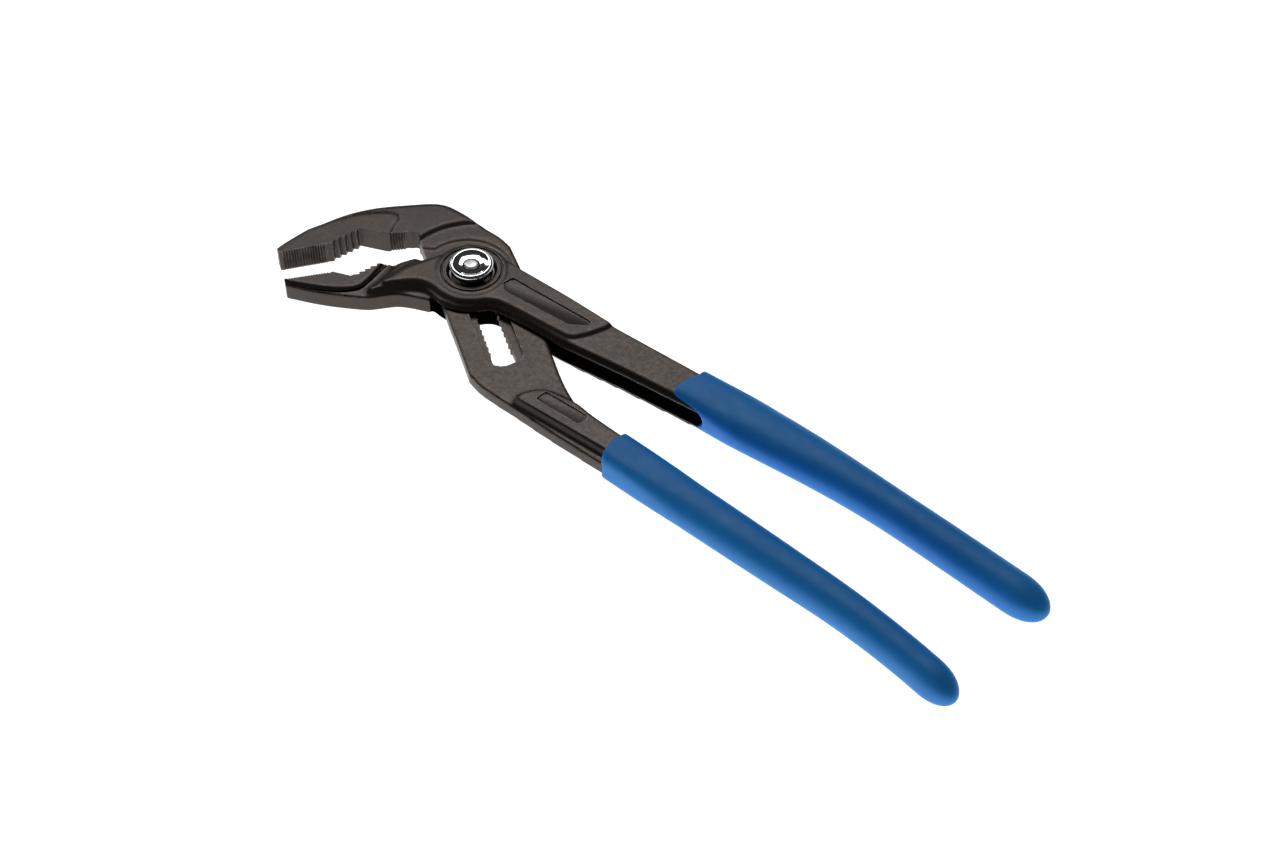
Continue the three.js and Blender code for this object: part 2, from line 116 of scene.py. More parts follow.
def tooth_row(start, end, count, height, lean):
    """Teeth along a row. Each one stands out to the left, with its tip at `lean` of its pitch."""
    step = ((end[0] - start[0]) / count, (end[1] - start[1]) / count)
    length = math.hypot(*step)
    out = []
    for i in range(count):
        root = (start[0] + step[0] * i, start[1] + step[1] * i)
        tip = (root[0] + step[0] * lean - step[1] / length * height,
               root[1] + step[1] * lean + step[0] / length * height)
        out += [root, tip]
    return out


print("a row of 3 teeth has", len(tooth_row((0, 0), (3, 0), 3, 1, 0.5)), "points")

# %% [markdown]
# ## Blanks, forging and carving
# A drop-forged lever has soft, rolled edges where the die let the hot steel flow, and hard, sharp
# edges only where a cutter went later. Bevelling every edge of a finished shape would be fiddly
# and would break on the awkward corners. So the lever is made as in the works: a blank is stacked
# up from terraces, a voxel remesh and a few smoothing passes melt it into one soft forging, and
# boolean cutters then machine the teeth, the bore and the slot.

# %% Making solids
def face_up(bm, outline, height):
    face = bm.faces.new([bm.verts.new((x * MM, y * MM, height * MM)) for x, y in outline])
    face.normal_update()
    if face.normal.z < 0:
        face.normal_flip()
    return face


def raise_face(bm, face, by):
    grown = bmesh.ops.extrude_face_region(bm, geom=[face])
    new = [g for g in grown["geom"] if isinstance(g, bmesh.types.BMVert)]
    bmesh.ops.translate(bm, verts=new, vec=(0, 0, by * MM))
    return next(g for g in grown["geom"] if isinstance(g, bmesh.types.BMFace))


def prism(bm, outline, low, high):
    raise_face(bm, face_up(bm, outline, low), high - low)


def terrace(bm, outline, wall, top, slope, under=1.0):
    """One step of a blank on both faces: upright to `wall` from the middle, then sloping in.
    `under` makes the lower copy shallower than the upper one."""
    overlap = 0.4  # the two copies meet across the middle, so that they melt into one
    start = len(bm.verts)
    face = raise_face(bm, face_up(bm, outline, MID - overlap), wall + overlap)
    bmesh.ops.inset_region(bm, faces=[face], thickness=slope * MM, depth=(top - wall) * MM,
                           use_boundary=True, use_even_offset=True)
    bm.verts.ensure_lookup_table()
    half = bm.verts[start:]
    geom = half + list({e for v in half for e in v.link_edges}) + list(
        {f for v in half for f in v.link_faces})
    copy = bmesh.ops.duplicate(bm, geom=geom)
    below = [g for g in copy["geom"] if isinstance(g, bmesh.types.BMVert)]
    for vert in below:
        vert.co.z = MID * MM - (vert.co.z - MID * MM) * under


def to_object(bm, name):
    bmesh.ops.recalc_face_normals(bm, faces=bm.faces)
    mesh = bpy.data.meshes.new(name)
    bm.to_mesh(mesh)
    bm.free()
    made = bpy.data.objects.new(name, mesh)
    bpy.context.scene.collection.objects.link(made)
    return made


def settle(piece):
    """Turn a piece's modifiers into real mesh."""
    graph = bpy.context.evaluated_depsgraph_get()
    mesh = bpy.data.meshes.new_from_object(piece.evaluated_get(graph))
    piece.modifiers.clear()
    piece.data = mesh
    return piece


def forge(piece, voxel, passes, factor=0.5):
    remesh = piece.modifiers.new("melt", "REMESH")
    remesh.mode = "VOXEL"
    remesh.voxel_size = voxel * MM
    soften = piece.modifiers.new("soften", "SMOOTH")
    soften.factor = factor
    soften.iterations = passes
    settle(piece)
    print(piece.name, "forged:", len(piece.data.polygons), "faces")
    return piece


def carve(piece, *tools, join=False):
    for tool in tools:
        cut = piece.modifiers.new("cut", "BOOLEAN")
        cut.operation = "UNION" if join else "DIFFERENCE"
        cut.solver = "MANIFOLD"
        cut.object = tool
        before = len(piece.data.polygons)
        settle(piece)
        bpy.data.objects.remove(tool)
        assert len(piece.data.polygons) > 100, piece.name + " was lost in a cut"
        print(piece.name, "cut:", before, "to", len(piece.data.polygons), "faces")
    return piece


def cutter(outline, low=-2, high=20):
    bm = bmesh.new()
    prism(bm, outline, low, high)
    return to_object(bm, "cutter")


def turned(profile, steps, name, centre=(0, 0)):
    """A lathe piece: a profile of (radius, height) corners spun round an upright axis."""
    bm = bmesh.new()
    verts = [bm.verts.new(((centre[0] + r) * MM, centre[1] * MM, z * MM)) for r, z in profile]
    edges = [bm.edges.new(pair) for pair in zip(verts, verts[1:])]
    if profile[0][0] > 0:
        edges.append(bm.edges.new((verts[-1], verts[0])))
    bmesh.ops.spin(bm, geom=verts + edges, cent=(centre[0] * MM, centre[1] * MM, 0),
                   axis=(0, 0, 1), angle=2 * math.pi, steps=steps, use_merge=True)
    bmesh.ops.remove_doubles(bm, verts=bm.verts, dist=1e-6)
    return to_object(bm, name)


def finish_edges(piece, degrees=30):
    piece.data.shade_smooth()
    piece.data.set_sharp_from_angle(angle=math.radians(degrees))
    return piece


print("workshop ready")

# %% [markdown]
# ## The box lever's blank
# The lower jaw is a deep bar with a raised pad for the teeth. Behind it the steel climbs in soft
# terraces to the flats round the pivot and runs out into the channel of the handle. Each terrace
# is one outline with an upright wall and a slope, so its steepness is easy to read and to change.

# %% Box lever: terraces
jaw_back = [(-3.6, -15.0), (-9.0, -17.0), (-12.7, -18.9), (-15.5, -21.6), (-18.8, -25.1),
            (-23.4, -27.9), (-27.1, -29.9), (-31.0, -31.8), (-35.0, -33.5), (-38.5, -34.8),
            (-41.2, -35.8), (-44.6, -37.2)]
mouth_side = [(-45.2, -34.9), (-35.6, -22.8), (-29.6, -20.4), (-27.2, -12.6), (-22.6, -9.2),
              (-18.6, -3.8), (-15.0, -3.6)]

blank = bmesh.new()
terrace(blank, [(-8.0, -4.0), *curved(jaw_back), *mouth_side], 2.6, 2.9, 0.3)
terrace(blank, [
    (-45.0, -35.9), (-41.6, -34.9), (-36.2, -32.5), (-31.9, -30.5),
    *curved([(-28.4, -28.5), (-25.9, -26.6), (-23.9, -24.4), (-23.2, -22.2), (-23.4, -17.7),
             (-23.8, -14.5), (-24.0, -11.6)]),
    (-27.2, -12.6), (-29.6, -20.4), (-35.6, -22.8), (-45.2, -34.2),
], 3.45, 3.85, 0.2, under=0.78)
terrace(blank, [
    *curved([(-20.2, -24.6), (-18.6, -24.0), (-15.9, -21.4), (-13.1, -18.6), (-11.0, -16.6),
             (-8.9, -15.2), (-6.4, -14.2), (-3.4, -14.0), (1.3, -14.5),
             (5.3, -13.6), (9.9, -10.8), (12.9, -8.0), (16.1, -7.1), (21.8, -6.7)]),
    (33.0, -6.6), (38.0, -6.3), (41.4, -4.6), (44.6, -0.3), (47.6, 5.2), (47.6, 9.6),
    (30.0, 10.6), (10.0, 11.2), *arc(0, 0, 12.6, 62, 176, 16), (-14.0, -3.2), (-18.6, -3.8),
    *curved([(-21.2, -8.6), (-21.5, -11.6), (-21.1, -14.6), (-20.9, -18.0), (-21.2, -21.4),
             (-21.4, -23.0)]),
], 2.75, 4.5, 2.3)
print("jaw, pad and shoulders stacked")

# %% [markdown]
# The flats, the boss and the channel come next. The channel's lower edges slope back widely,
# while its top edge is only rolled over. So the top of its outline is drawn too wide here, and
# the cutter that opens the mouth trims it after forging. The steel that runs on inside the grip
# comes later, with the grips.

# %% Box lever: flats, boss and channel
terrace(blank, [
    *curved([(-18.6, -19.2), (-16.6, -19.2), (-13.6, -16.6), (-10.2, -13.6), (-6.4, -12.6),
             (-1.0, -13.2), (4.2, -12.6), (8.6, -10.0), (11.4, -7.2), (14.0, -5.9), (18.0, -5.4)]),
    (31.0, -5.1), (38.6, -4.9), (40.9, -3.9), (43.9, 0.2), (46.6, 5.6), (46.6, 9.4),
    (30.0, 10.4), (10.0, 11.0), *arc(0, 0, 12.2, 62, 176, 16), (-15.4, -5.6),
    *curved([(-17.4, -9.8), (-18.2, -13.6), (-18.6, -16.6), (-18.6, -19.2)]),
], 4.45, 5.5, 1.5)
BOSS_RISE = 5.8
terrace(blank, arc(0, 0, 10.9, 0, 360, 48)[:-1], 5.2, BOSS_RISE, 0.7)
terrace(blank, [(20.0, 0.0), (20.0, -6.6), (38.0, -6.6), (59.0, -4.9), (90.0, -3.4), (90.0, 8.9),
                (48.0, 9.0), (20.0, 9.6)], 3.35, 4.7, 1.4)
prism(blank, [(42.0, 0.0), (42.0, -6.2), (59.0, -4.9), (90.0, -3.4), (90.0, 6.0)], MID - 4.0, MID)
box_lever = forge(to_object(blank, "box_lever_steel"), **FORGING)

# %% [markdown]
# ## Machining the box lever
# One cutter takes out the mouth, and its edge carries all the teeth: fine ones near the tip, four
# coarse pipe teeth in the bite, and a last fine row in the throat. The same cutter trims the top
# edge of the handle. Others open the space between the cheeks and bore the hole for the bolt.
# The slotted arm swings in that space, so the cutter follows the arm's edges, a little outside
# them, turned half a degree past the furthest it opens and closes.

# %% Box lever: cutters
lower_teeth = [
    (-42.7, -34.7),
    *tooth_row((-42.3, -34.1), (-33.9, -24.4), 16, -0.45, 0.5),
    (-33.4, -23.9), (-27.9, -21.9),
    *tooth_row((-27.7, -21.1), (-25.4, -13.7), 4, -0.9, 0.85),
    *curved([(-25.2, -13.5), (-23.6, -11.9), (-22.6, -11.1), (-21.2, -10.8)], 3),
    *tooth_row((-20.9, -10.5), (-17.7, -5.8), 6, -0.4, 0.5),
    (-17.4, -5.4), (-16.0, -4.6), (-12.5, -2.6),
]
mouth = cutter([(-39.9, -38.0), (-41.2, -35.8), *lower_teeth, *arc(0, 0, 11.4, 176, 62, 40),
                (10, 8.9), (30, 8.4), (48, 7.3), (95, 7.3), (95, 20), (-20, 20), (-60, 0),
                (-60, -38)])


def arm_edge(degrees, n):
    """Points along the edge of the slotted arm when it has turned by some degrees."""
    turn = Matrix.Rotation(math.radians(degrees), 2)
    return lambda t: tuple(turn @ Vector(along(t, n)))


FURTHEST_OPEN, FURTHEST_CLOSED = -22.5, 3
ARM_LEFT, ARM_RIGHT = -11.2, 14.6
opened = arm_edge(FURTHEST_OPEN, ARM_LEFT)
closed = arm_edge(FURTHEST_CLOSED, ARM_LEFT)
closed_right = arm_edge(FURTHEST_CLOSED, ARM_RIGHT)
window = cutter([opened(14), opened(2.5), closed(-10), closed(-22), closed_right(-22),
                 closed_right(10.5), (23, 6.0), (90, 4.4), (90, -12), (20, -20)],
                MID - CHEEK_GAP, MID + CHEEK_GAP)
bore = turned([(0, -1), (8.0, -1), (8.0, 0.1), (BORE, 0.7), (7.75, 0.75), (7.75, 1.65),
               (BORE, 1.65), (BORE, 11.5), (7.7, 12.1), (7.7, 20), (0, 20)], 96, "bore")
carve(box_lever, mouth, window, bore)

# %% [markdown]
# A narrow crease follows the outer edge of the jaw's pad, the boss has a shallow round groove,
# and the flat beside it holds a sunk panel, which is left blank. The round groove's cutter is a
# small ring with a rounded section.

# %% Box lever: grooves and panel
def ribbon(path, half, low, high):
    """A cutter for a groove that follows a path, with `half` its width at each point."""
    left, right = [], []
    for i, (x, y) in enumerate(path):
        a, b = path[max(0, i - 1)], path[min(len(path) - 1, i + 1)]
        run = math.hypot(b[0] - a[0], b[1] - a[1])
        nx, ny = -(b[1] - a[1]) / run * half(i), (b[0] - a[0]) / run * half(i)
        left.append((x + nx, y + ny))
        right.append((x - nx, y - ny))
    return cutter([*right, *left[::-1]], low, high)


def crease(piece, path, half, depth):
    """A narrow groove in the upper face, fading out at its ends."""
    last = len(path) - 1
    carve(piece, ribbon(path, lambda i: half * (0.3 + 0.7 * math.sin(math.pi * i / last)),
                        MID + depth, 20))


crease(box_lever, curved([(-43.6, -36.3), (-38.8, -34.35), (-34.2, -32.35), (-30.4, -30.4),
                          (-27.2, -28.5), (-24.7, -26.3), (-23.0, -24.1), (-22.5, -21.4),
                          (-22.7, -16.0), (-23.0, -12.0), (-22.9, -8.6)]), 0.36, 2.6)
for height, side in ((MID + BOSS_RISE, 1), (MID - BOSS_RISE, -1)):
    ring = [(8.95 + 0.42 * math.cos(a * math.pi / 6), height - side * 0.05
             + 0.42 * math.sin(a * math.pi / 6)) for a in range(12)]
    carve(box_lever, turned(ring, 96, "groove"))


def sunk_panel(outline, floor, rounding):
    bm = bmesh.new()
    prism(bm, outline, floor, floor + 3)
    upright = [e for e in bm.edges if abs(e.verts[0].co.z - e.verts[1].co.z) > MM]
    bmesh.ops.bevel(bm, geom=upright, offset=rounding * MM, affect="EDGES", segments=6,
                    profile=0.5, material=-1)
    bottom = [e for e in bm.edges if max(v.co.z for v in e.verts) < (floor + 0.1) * MM]
    bmesh.ops.bevel(bm, geom=bottom, offset=0.25 * MM, affect="EDGES", segments=2,
                    profile=0.5, material=-1)
    return to_object(bm, "panel")


carve(box_lever, sunk_panel([(10.6, 1.6), (11.6, 4.9), (41.2, 4.5), (40.6, 2.4), (36.0, -0.3),
                             (13.0, -0.7)], MID + 5.0, 0.8))
finish_edges(box_lever)

# %% [markdown]
# ## The slotted lever
# It is a thinner bar. The arm with the slot is flat so that it slides between the cheeks, the jaw
# is thicker and ends in an arc round the joint, and the handle has a raised rib. The same steps
# make it: terraces, forging, then cutters.

# %% Slotted lever: terraces
back = [(-53.6, -26.1), (-53.2, -20.4), (-51.4, -13.8), (-47.4, -3.4), (-42.0, 4.7), (-35.0, 11.7),
        (-28.4, 17.4), (-22.6, 19.1), (-13.2, 18.65), (-3.2, 18.0)]
throat_side = [(-22.6, -0.6), (-26.0, -1.0), (-29.6, -2.8), (-30.6, -3.6), (-38.0, -6.6),
               (-40.8, -16.6), (-50.0, -28.6), (-53.6, -28.4)]
crotch = [(43.8, -14.3), (48.0, -17.1), (52.5, -19.6), (57.0, -21.5), (64.0, -22.8), (86.0, -24.8)]
heel = [(86.0, -34.6), (58.0, -33.7), (44.0, -32.8), (33.0, -32.2), (28.4, -31.7)]

blank = bmesh.new()
terrace(blank, [*throat_side, *curved(back), (0.6, 16.9), along(-3, 13.9), along(39, 13.9),
                *curved(crotch), *curved(heel), along(37, -10.9), along(22, -10.9),
                along(-14, -11.4)], 1.9, 2.15, 0.25)
terrace(blank, [*arc(-2.9, 0.5, 13.8, 172, 30, 24), (9.6, 11.2), (0.8, 16.9),
                *curved(back[::-1][:4]), (-28.0, 2.0), (-22.0, -0.4)], 2.4, 2.62, 0.15)
terrace(blank, [*throat_side[1:], *curved(back[:9])[:-1], *arc(0, 0, 22.2, 126, 176, 24)],
        2.8, 3.5, 1.1)
terrace(blank, [
    (-53.6, -28.6), (-52.9, -22.8),
    *curved([(-51.4, -14.6), (-47.8, -7.4), (-43.9, -1.4), (-39.4, 3.1), (-36.2, 5.7),
             (-34.0, 6.0), (-32.6, 4.8), (-31.9, 2.4), (-31.0, -0.6), (-30.0, -4.0)]),
    (-38.0, -6.6), (-40.8, -16.6), (-50.0, -28.6),
], 3.5, 3.85, 0.25)
terrace(blank, [
    (86.0, -31.9), (41.0, -31.5), (40.5, -28.2),
    *curved([(42.6, -25.0), (46.0, -22.4), (51.0, -21.6), (57.0, -21.4), (64.0, -22.5),
             (86.0, -24.4)]),
], 2.7, 4.5, 0.9)
slotted_lever = forge(to_object(blank, "slotted_lever_steel"), **FORGING)

# %% [markdown]
# ## Machining the slotted lever
# The upper jaw has more coarse teeth than the lower one, and a round relief in the throat. The
# slot is milled in two depths: a wide flat recess on both faces, and a toothed slot through the
# web that is left between them.

# %% Slotted lever: cutters
upper_teeth = [
    along(14, -10.9), along(-18.6, -10.9), *arc(-24.3, 2.4, 1.8, 0, 150, 10), (-27.2, 2.4),
    *tooth_row((-27.6, 1.8), (-31.1, -1.7), 6, 0.4, 0.5),
    (-31.5, -2.2), (-39.4, -5.2),
    *tooth_row((-39.6, -5.4), (-42.6, -15.6), 5, 0.9, 0.55),
    *tooth_row((-42.8, -16.2), (-51.2, -26.7), 17, 0.4, 0.5),
    (-51.7, -27.3), (-53.6, -26.1),
]
bite = cutter([*upper_teeth, (-56.5, -25.2), (-58.0, -34.0), (-20.0, -24.0)])

RECESS_END = 36.6
recess_edge = [along(RECESS_END - 3.4, 6.0), along(-9.0, 6.0), along(-13.4, 3.6),
               along(-14.4, 0.6), along(-13.4, -2.6), along(-9.0, -4.8),
               along(RECESS_END - 3.6, -4.8), along(RECESS_END - 0.6, -2.8),
               along(RECESS_END, 0.4), along(RECESS_END - 0.2, 3.4), along(RECESS_END - 1.4, 5.2)]
eye = cutter([along(*p) for p in arc(-9.3, 0.3, 5.0, 0, 360, 40)[:-1]])


def slot_side(sign):
    """One side of the slot: rounded teeth, one to each notch."""
    out = []
    for i in range(NOTCHES):
        t = (i - 1.5) * NOTCH_PITCH
        for shift, reach in ((-0.36, 3.35), (-0.24, 3.2), (-0.12, 2.95), (0, 2.85), (0.12, 2.95),
                             (0.24, 3.2), (0.36, 3.35)):
            out.append(along(t + shift * NOTCH_PITCH, 0.25 + sign * reach))
    return out


slot = cutter([*slot_side(-1), along(35.0, -3.1), along(36.6, -1.6), along(36.9, 0.3),
               along(36.6, 2.0), along(35.0, 3.6), *slot_side(1)[::-1], along(-9.3, 3.4),
               along(-9.3, -3.0)])
carve(slotted_lever, bite,
      cutter(recess_edge, MID + 1.0, 20), cutter(recess_edge, -2, MID - 1.0), eye, slot,
      sunk_panel([(46.6, -24.0), (48.4, -23.9), (61.6, -24.1), (62.2, -25.4), (61.4, -28.0),
                  (46.0, -27.8)], MID + 4.1, 0.6))
crease(slotted_lever, curved([(-52.6, -20.6), (-50.9, -14.0), (-47.4, -6.9), (-43.5, -1.0),
                              (-39.1, 3.5), (-36.1, 6.1), (-33.9, 6.4), (-32.3, 5.1),
                              (-31.5, 2.5), (-30.8, -0.6)]), 0.17, 3.42)
finish_edges(slotted_lever)

# %% [markdown]
# ## Dipped grips
# The handles are dipped in vinyl, so each grip is a thick soft skin that follows the bent steel:
# an oval section that narrows, swells a little round its open end and closes in a round tip. A
# loft suits it: one ring is extruded from station to station, and moved and scaled each time.

# %% Grip shapes
def box_middle(x):
    bend = max(0, x - 112)
    return 3.2 - 0.00165 * bend ** 2 + 0.0000085 * bend ** 3


def eased(value, low, high):
    t = min(1, max(0, (value - low) / (high - low)))
    return t * t * (3 - 2 * t)


GRIPS = {
    "box_lever_grip": dict(start=72.0, end=198.9, middle=box_middle, thick=5.72, round=11.0,
                           half=lambda x: (5.65 + 2.5 * eased(152 - x, 0, 62)
                                           - 1.15 * (1 - eased(x, 78, 102)))),
    "slotted_lever_grip": dict(start=70.0, end=194.3, thick=5.55, round=10.0,
                               middle=lambda x: (-28.9 - 0.073 * (x - 83)
                                                 - 0.0019 * max(0, x - 145) ** 2),
                               half=lambda x: 4.85 + 1.6 * eased(190 - x, 0, 95)
                               - 0.35 * (1 - eased(x, 76, 100))),
}


SMALLEST_RING = 0.06  # the tip's last ring as a share of a full one


def oval(step, sides, squareness):
    angle = 2 * math.pi * step / sides
    c, s = math.cos(angle), math.sin(angle)
    power = 2 / squareness
    return (math.copysign(abs(c) ** power, c), math.copysign(abs(s) ** power, s))


def loft_grip(grip, start, end, grow, name, sides=64):
    """A closed loft along the handle. `grow` is negative for the steel inside the skin."""
    bm = bmesh.new()
    stations = 64
    ring = [bm.verts.new((0, 0, 0)) for _ in range(sides)]
    edges = [bm.edges.new((ring[i], ring[(i + 1) % sides])) for i in range(sides)]
    bm.faces.new(ring)
    for station in range(stations + 1):
        if station:
            grown = bmesh.ops.extrude_edge_only(bm, edges=edges)
            ring = [g for g in grown["geom"] if isinstance(g, bmesh.types.BMVert)]
            edges = [g for g in grown["geom"] if isinstance(g, bmesh.types.BMEdge)
                     and g.verts[0] in ring and g.verts[1] in ring]
        share = math.sin(station / stations * math.pi / 2)
        x = start + (end - start) * share
        left = max(0, end - x) / grip["round"]
        scale = math.sqrt(max(0, 1 - (1 - left) ** 2.2)) if left < 1 else 1
        scale = max(scale, SMALLEST_RING)
        slope = (grip["middle"](x + 1) - grip["middle"](x - 1)) / 2
        for i, vert in enumerate(ring):
            c, s = oval(i, sides, 2.4 + 1.5 * (1 - eased(x, 76, 104)))
            across = (grip["half"](x) + grow) * scale * c
            up = (grip["thick"] + grow) * scale * s
            vert.co = Vector((x - slope * across, grip["middle"](x) + across, MID + up)) * MM
    bm.faces.new(ring)
    return to_object(bm, name)


def along_y(outline, low, high):
    """A prism lying along Y, from an outline given in X and Z."""
    bm = bmesh.new()
    face = bm.faces.new([bm.verts.new((x * MM, low * MM, z * MM)) for x, z in outline])
    grown = bmesh.ops.extrude_face_region(bm, geom=[face])
    bmesh.ops.translate(bm, verts=[g for g in grown["geom"] if isinstance(g, bmesh.types.BMVert)],
                        vec=(0, (high - low) * MM, 0))
    return to_object(bm, "cutter")


# %% [markdown]
# The vinyl takes the exact shape of the steel it was dipped on. So each grip is a solid first, its
# open end is cut wavy and melted soft, and then the steel itself is taken out of it, which leaves
# a lip that hugs the handle. First each lever gets its tang, the steel inside the grip. It is the
# same loft, only smaller all round. On the box lever the channel stays open for a short way,
# behind a U-shaped notch.

# %% Steel inside the grips
def add_tang(lever, grip, start, end):
    tang = loft_grip(grip, start, end, -1.5, "tang")
    carve(lever, tang, join=True)
    return finish_edges(lever)


add_tang(box_lever, GRIPS["box_lever_grip"], 88, 187)
add_tang(slotted_lever, GRIPS["slotted_lever_grip"], 84, 183)


def copy_of(piece):
    twin = piece.copy()
    twin.data = piece.data.copy()
    bpy.context.scene.collection.objects.link(twin)
    return twin


# %% Box lever's grip
grip = GRIPS["box_lever_grip"]
box_grip = loft_grip(grip, grip["start"], grip["end"], 0, "box_lever_dip")
wavy = cutter([(60, -20), *curved([(76.9, -20.0), (76.6, -8.0), (76.0, -4.6), (75.2, -1.6),
                                   (75.5, 1.6), (76.8, 4.8), (77.6, 7.2), (77.9, 20.0)], 6),
               (60, 20)])
notch = along_y([(70, MID - 3.0), *arc(83.4, MID, 3.0, -90, 90, 14), (70, MID + 3.0)], -14, 1.5)
channel = cutter([(60, -12), (84.5, -12), (85.0, 4.3), (60, 4.6)],
                 MID - CHEEK_GAP, MID + CHEEK_GAP)
carve(box_grip, wavy, notch)
forge(box_grip, **FORGING)
carve(box_grip, copy_of(box_lever), channel)
finish_edges(box_grip, 60)

# %% Slotted lever's grip
grip = GRIPS["slotted_lever_grip"]
slot_grip = loft_grip(grip, grip["start"], grip["end"], 0, "slotted_lever_dip")
wavy = cutter([(60, -50), *curved([(74.9, -50.0), (74.6, -36.4), (73.7, -33.4), (73.0, -30.2),
                                   (73.1, -26.6), (73.8, -23.8), (74.0, -10.0)], 6), (60, -10)])
carve(slot_grip, wavy)
forge(slot_grip, **FORGING)
carve(slot_grip, copy_of(slotted_lever))
finish_edges(slot_grip, 60)

# %% [markdown]
# ## The button, its pin and the bolt
# These are turned on a lathe, so a profile is spun round the pivot's axis. The button is a bright
# cup: a rolled rim, a dish that falls to the pin, and a waist where it goes down into the bolt.
# The pin's end is a plain riveted head in the middle of the dish.

# %% Turned pieces
button_profile = [
    (2.5, 11.4), (5.55, 11.4), (5.6, 11.5), (5.6, 12.35), (5.75, 12.75), (6.1, 13.05),
    (6.35, 13.35), (6.48, 13.7), (6.46, 14.05), (6.3, 14.4), (6.0, 14.66), (5.7, 14.78),
    (5.4, 14.78), (5.15, 14.68), (4.75, 14.46), (4.2, 14.22), (3.6, 14.05), (3.0, 13.96),
    (2.55, 13.93), (2.5, 13.88),
]
button = turned(button_profile, 128, "button_cup")
pin = turned([(0, 0.6), (1.0, 0.6), (1.15, 0.75), (1.15, 13.1), (2.1, 13.3), (2.15, 13.4),
              (2.15, 14.05), (2.05, 14.28), (1.8, 14.42), (1.2, 14.46), (0, 14.48)],
             64, "pin_head")
bolt_foot = turned([(0, 0.02), (6.6, 0.02), (6.98, 0.4), (6.98, 0.72), (6.2, 0.76), (6.2, 1.64),
                    (6.98, 1.68), (6.98, 3.3), (0, 3.3)], 96, "bolt_steel_foot")
hole = turned([(0, 0.5), (1.25, 0.5), (1.25, 0.9), (4.4, 0.9), (4.4, 6), (0, 6)], 48, "hole")
collar = turned([(5.9, 8.9), (6.98, 8.9), (6.98, 10.3), (6.6, 10.68), (6.15, 10.68), (5.9, 10.4)],
                96, "bolt_steel_collar")


def bar_beside(t0, t1, half, low, high):
    corners = [along(t0, -half), along(t1, -half), along(t1, half), along(t0, half)]
    return cutter(corners, low, high)


carve(bolt_foot, hole, bar_beside(-4.5, 4.5, 3.4, 3.0, 8.4))
carve(bolt_foot, bar_beside(4.6, 6.35, 2.15, 1.2, 9.2), bar_beside(-6.35, -4.6, 2.15, 1.2, 9.2),
      collar, join=True)
for turned_piece in (button, pin, bolt_foot):
    finish_edges(turned_piece, 28)

# %% [markdown]
# ## The hidden pieces
# The toothed key, its spring and the retaining ring are small and mostly out of sight. Their CAD
# shapes are already right, so copies are only merged and given a fine bevel that catches light.

# %% Key, spring and ring
def from_cad(node, name, bevel):
    bm = bmesh.new()
    bm.from_mesh(frame["nodes"][node].data)
    bmesh.ops.remove_doubles(bm, verts=bm.verts, dist=1e-6)
    bmesh.ops.dissolve_limit(bm, angle_limit=math.radians(3), verts=bm.verts, edges=bm.edges)
    made = to_object(bm, name)
    if bevel:
        soft = made.modifiers.new("edges", "BEVEL")
        soft.width = bevel * MM
        soft.segments = 2
        soft.limit_method = "ANGLE"
        settle(made)
    return finish_edges(made, 40)


key = from_cad("locking_key", "toothed_key", 0.12)
spring = from_cad("button_spring", "coil", 0)
ring = from_cad("retaining_ring", "snap_ring", 0.08)
print("hidden pieces:", key.name, spring.name, ring.name)

# %% [markdown]
# ## Shared shader effects
# Three effects are used by more than one finish. Edge wear compares the true normal with one
# rounded over a small radius, so it is bright where steel rubs bare. Painted shade comes from
# ambient occlusion: it darkens the colour in grooves and recesses, where shade falls. Grain is
# two sizes of noise added together. Each is built once as a group, with its own inputs.

# %% Shader groups
def new_group(name, inputs, outputs):
    group = bpy.data.node_groups.new(name, "ShaderNodeTree")
    for label, value in inputs:
        socket = group.interface.new_socket(label, in_out="INPUT", socket_type="NodeSocketFloat")
        socket.default_value = value
    for label in outputs:
        group.interface.new_socket(label, in_out="OUTPUT", socket_type="NodeSocketFloat")
    return group, group.nodes.new("NodeGroupInput"), group.nodes.new("NodeGroupOutput")


def math_node(tree, kind, a, b=None, clamp=False):
    node = tree.nodes.new("ShaderNodeMath")
    node.operation = kind
    node.use_clamp = clamp
    for socket, value in zip(node.inputs, (a, b)):
        if isinstance(value, (int, float)):
            socket.default_value = value
        elif value is not None:
            tree.links.new(value, socket)
    return node.outputs[0]


def ranged(tree, value, low, high, to_low=0.0, to_high=1.0):
    node = tree.nodes.new("ShaderNodeMapRange")
    node.interpolation_type = "SMOOTHSTEP"
    tree.links.new(value, node.inputs["Value"])
    for label, number in (("From Min", low), ("From Max", high), ("To Min", to_low),
                          ("To Max", to_high)):
        node.inputs[label].default_value = number
    return node.outputs["Result"]


def noise(tree, scale, detail=4.0, rough=0.55, stretch=None):
    place = tree.nodes.new("ShaderNodeTexCoord").outputs["Object"]
    if stretch:
        mapping = tree.nodes.new("ShaderNodeMapping")
        mapping.inputs["Scale"].default_value = stretch
        tree.links.new(place, mapping.inputs["Vector"])
        place = mapping.outputs["Vector"]
    node = tree.nodes.new("ShaderNodeTexNoise")
    tree.links.new(place, node.inputs["Vector"])
    if isinstance(scale, (int, float)):
        node.inputs["Scale"].default_value = scale
    else:
        tree.links.new(scale, node.inputs["Scale"])
    node.inputs["Detail"].default_value = detail
    node.inputs["Roughness"].default_value = rough
    return node.outputs["Fac"]


